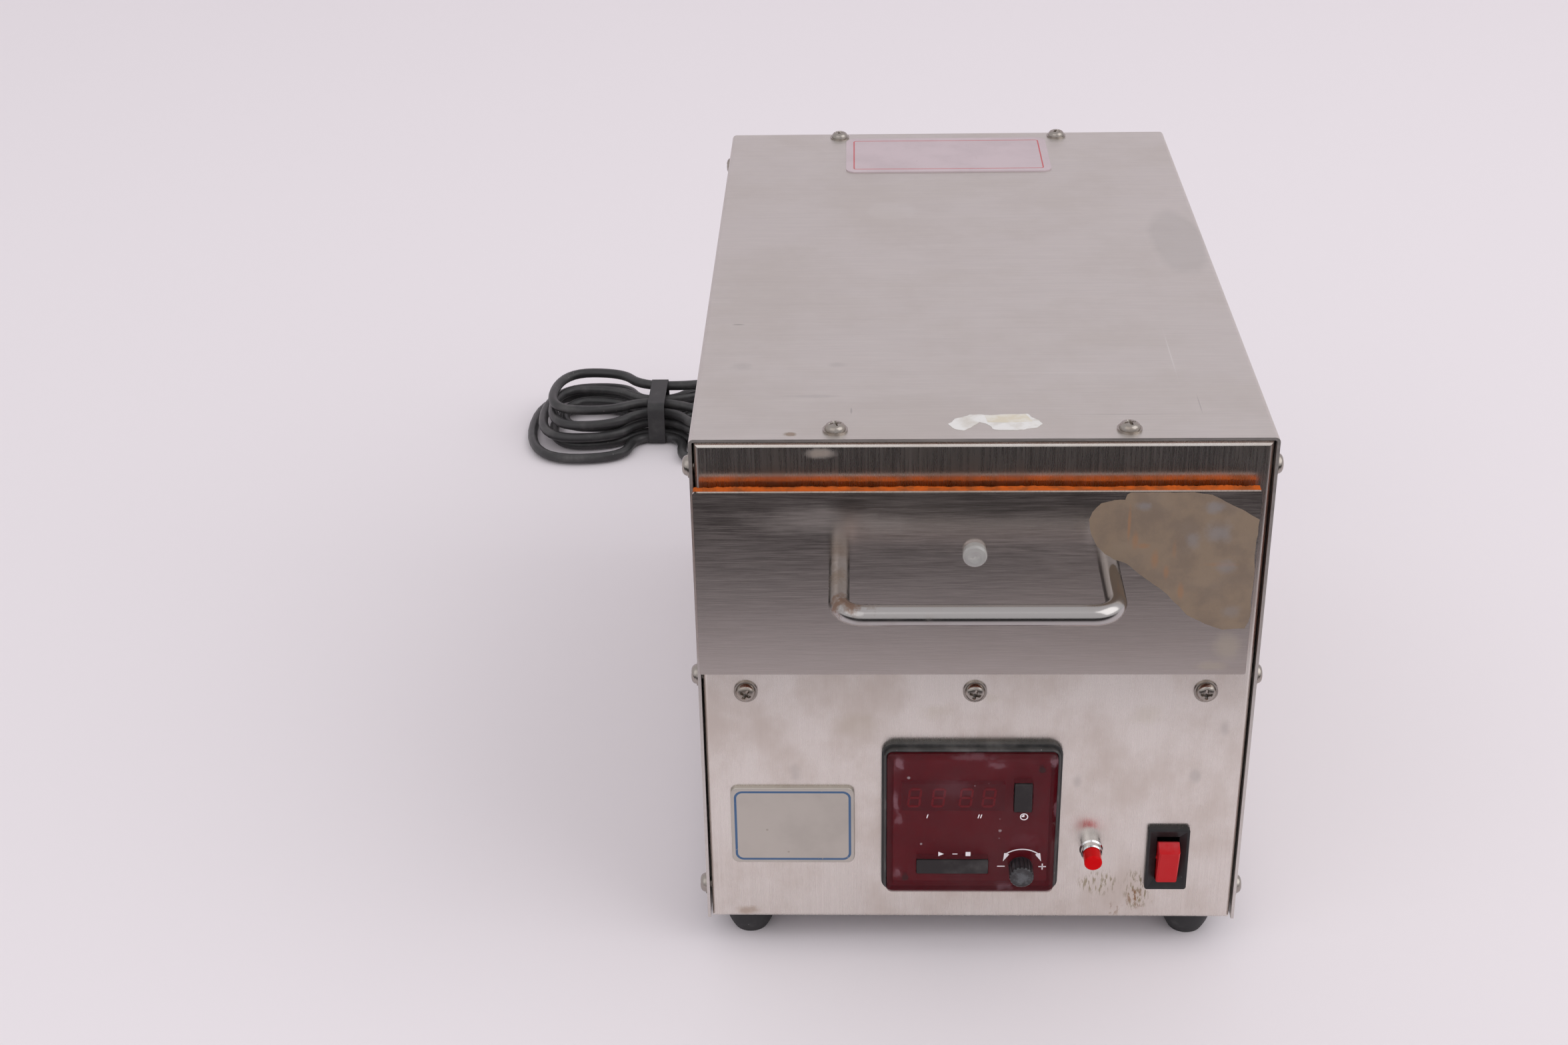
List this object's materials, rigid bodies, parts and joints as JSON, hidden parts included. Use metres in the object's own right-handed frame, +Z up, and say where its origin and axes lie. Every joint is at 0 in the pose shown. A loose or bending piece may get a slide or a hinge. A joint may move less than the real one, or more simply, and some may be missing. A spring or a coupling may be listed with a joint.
{
  "type": "ultraviolet ozone cleaner",
  "caption": "Bench cleaner: a brushed steel box with a gasketed sample drawer under an ultraviolet lamp, a panel timer, a lighted switch, an exhaust spigot and a tied mains cord.",
  "frame": {"origin": "on the bench, in the middle of the object's footprint without its cord", "axes": "+X to the right seen from the front, +Y to the back, +Z up"},
  "size_m": [0.3613, 0.5846, 0.2412],
  "materials": {
    "case_steel": "satin, brushed stainless sheet",
    "inner_steel": "plain stainless sheet",
    "door_steel": "satin, brushed stainless sheet",
    "liner_aluminium": "bright",
    "gasket_rubber": "orange-brown silicone sponge",
    "handle_steel": "satin stainless bar",
    "screw_steel": "bright screws",
    "clear_plastic": "clear moulded plastic",
    "lamp_quartz": "clear quartz tube",
    "white_ceramic": "white ceramic",
    "black_plastic": "fine-grained black plastic",
    "window_red": "dark red transparent plastic",
    "face_black": "dark face behind the window",
    "digit_red": "unlit red display bars",
    "key_black": "charcoal keys",
    "ring_chrome": "bright chromed ring",
    "lens_red": "red translucent lens",
    "body_white": "natural nylon",
    "plate_bare": "bare printed plate",
    "foot_rubber": "black rubber",
    "spigot_aluminium": "turned",
    "core_steel": "varnished laminations",
    "winding_tape": "yellow tape over copper",
    "cord_black": "satin black jacket",
    "blade_brass": "bright blades"
  },
  "bodies": {
    "cabinet": {"back_panel": "case_steel", "bottom_plate": "case_steel", "case_screws": "screw_steel", "case_washers": "screw_steel", "chamber_liner": "liner_aluminium", "cord_tie": "cord_black", "exhaust_port": "spigot_aluminium", "foot_back_left": "foot_rubber", "foot_back_right": "foot_rubber", "foot_front_left": "foot_rubber", "foot_front_right": "foot_rubber", "foot_screws": "screw_steel", "front_panel": "case_steel", "fuse_holder": "black_plastic", "interlock_switch": "black_plastic", "lamp_clips": "inner_steel", "lamp_reflector": "liner_aluminium", "lamp_sockets": "white_ceramic", "nameplate": "plate_bare", "pilot_body": "body_white", "pilot_lens": "lens_red", "pilot_ring": "ring_chrome", "plug_blades": "blade_brass", "power_cord_hank": "cord_black", "power_cord_lead": "cord_black", "power_cord_tail": "cord_black", "power_plug": "cord_black", "shelf": "inner_steel", "slide_channel_left": "inner_steel", "slide_channel_right": "inner_steel", "strain_relief": "black_plastic", "switch_body": "black_plastic", "terminal_block": "body_white", "timer_bezel": "black_plastic", "timer_clamp": "black_plastic", "timer_digits": "digit_red", "timer_display": "face_black", "timer_face": "face_black", "timer_housing": "black_plastic", "timer_window": "window_red", "top_cover": "case_steel", "top_plate": "plate_bare", "transformer_core": "core_steel", "transformer_strap": "inner_steel", "transformer_winding": "winding_tape", "uv_lamp": "lamp_quartz"},
    "drawer": {"drawer_tray": "inner_steel", "door_plate": "door_steel", "door_gasket": "gasket_rubber", "door_handle": "handle_steel", "handle_screws": "screw_steel", "view_port": "clear_plastic", "drawer_runner_left": "liner_aluminium", "drawer_runner_right": "liner_aluminium"},
    "rocker": {"power_rocker": "lens_red"},
    "knob": {"timer_knob": "black_plastic"},
    "clock_button": {"clock_key": "key_black"},
    "start_button": {"start_key": "key_black"},
    "plunger": {"interlock_plunger": "body_white"},
    "fuse_lid": {"fuse_cap": "black_plastic"}
  },
  "joints": [
    {"name": "drawer_slide", "type": "slide", "parent": "cabinet", "child": "drawer", "axis": [0, -1, 0], "range_m": [-0.0019, 0.145]},
    {"name": "rocker_tilt", "type": "hinge", "parent": "cabinet", "child": "rocker", "pos_m": [0.07947, -0.16575, 0.0472], "axis": [1, 0, 0], "range_deg": [-27, 0]},
    {"name": "knob_turn", "type": "hinge", "parent": "cabinet", "child": "knob", "pos_m": [0.01943, -0.17645, 0.0482], "axis": [0, 1, 0], "range_deg": [-60, 60], "stiffness_Nm_per_rad": 0.01},
    {"name": "clock_press", "type": "slide", "parent": "cabinet", "child": "clock_button", "axis": [0, 1, 0], "range_m": [0, 0.001], "stiffness_N_per_m": 400},
    {"name": "start_press", "type": "slide", "parent": "cabinet", "child": "start_button", "axis": [0, 1, 0], "range_m": [0, 0.001], "stiffness_N_per_m": 400},
    {"name": "plunger_press", "type": "slide", "parent": "cabinet", "child": "plunger", "axis": [0, 1, 0], "range_m": [0, 0.0025], "stiffness_N_per_m": 300},
    {"name": "fuse_cap_turn", "type": "hinge", "parent": "cabinet", "child": "fuse_lid", "pos_m": [0.052, 0.18685, 0.0438], "axis": [0, 1, 0], "range_deg": [0, 90]}
  ]
}
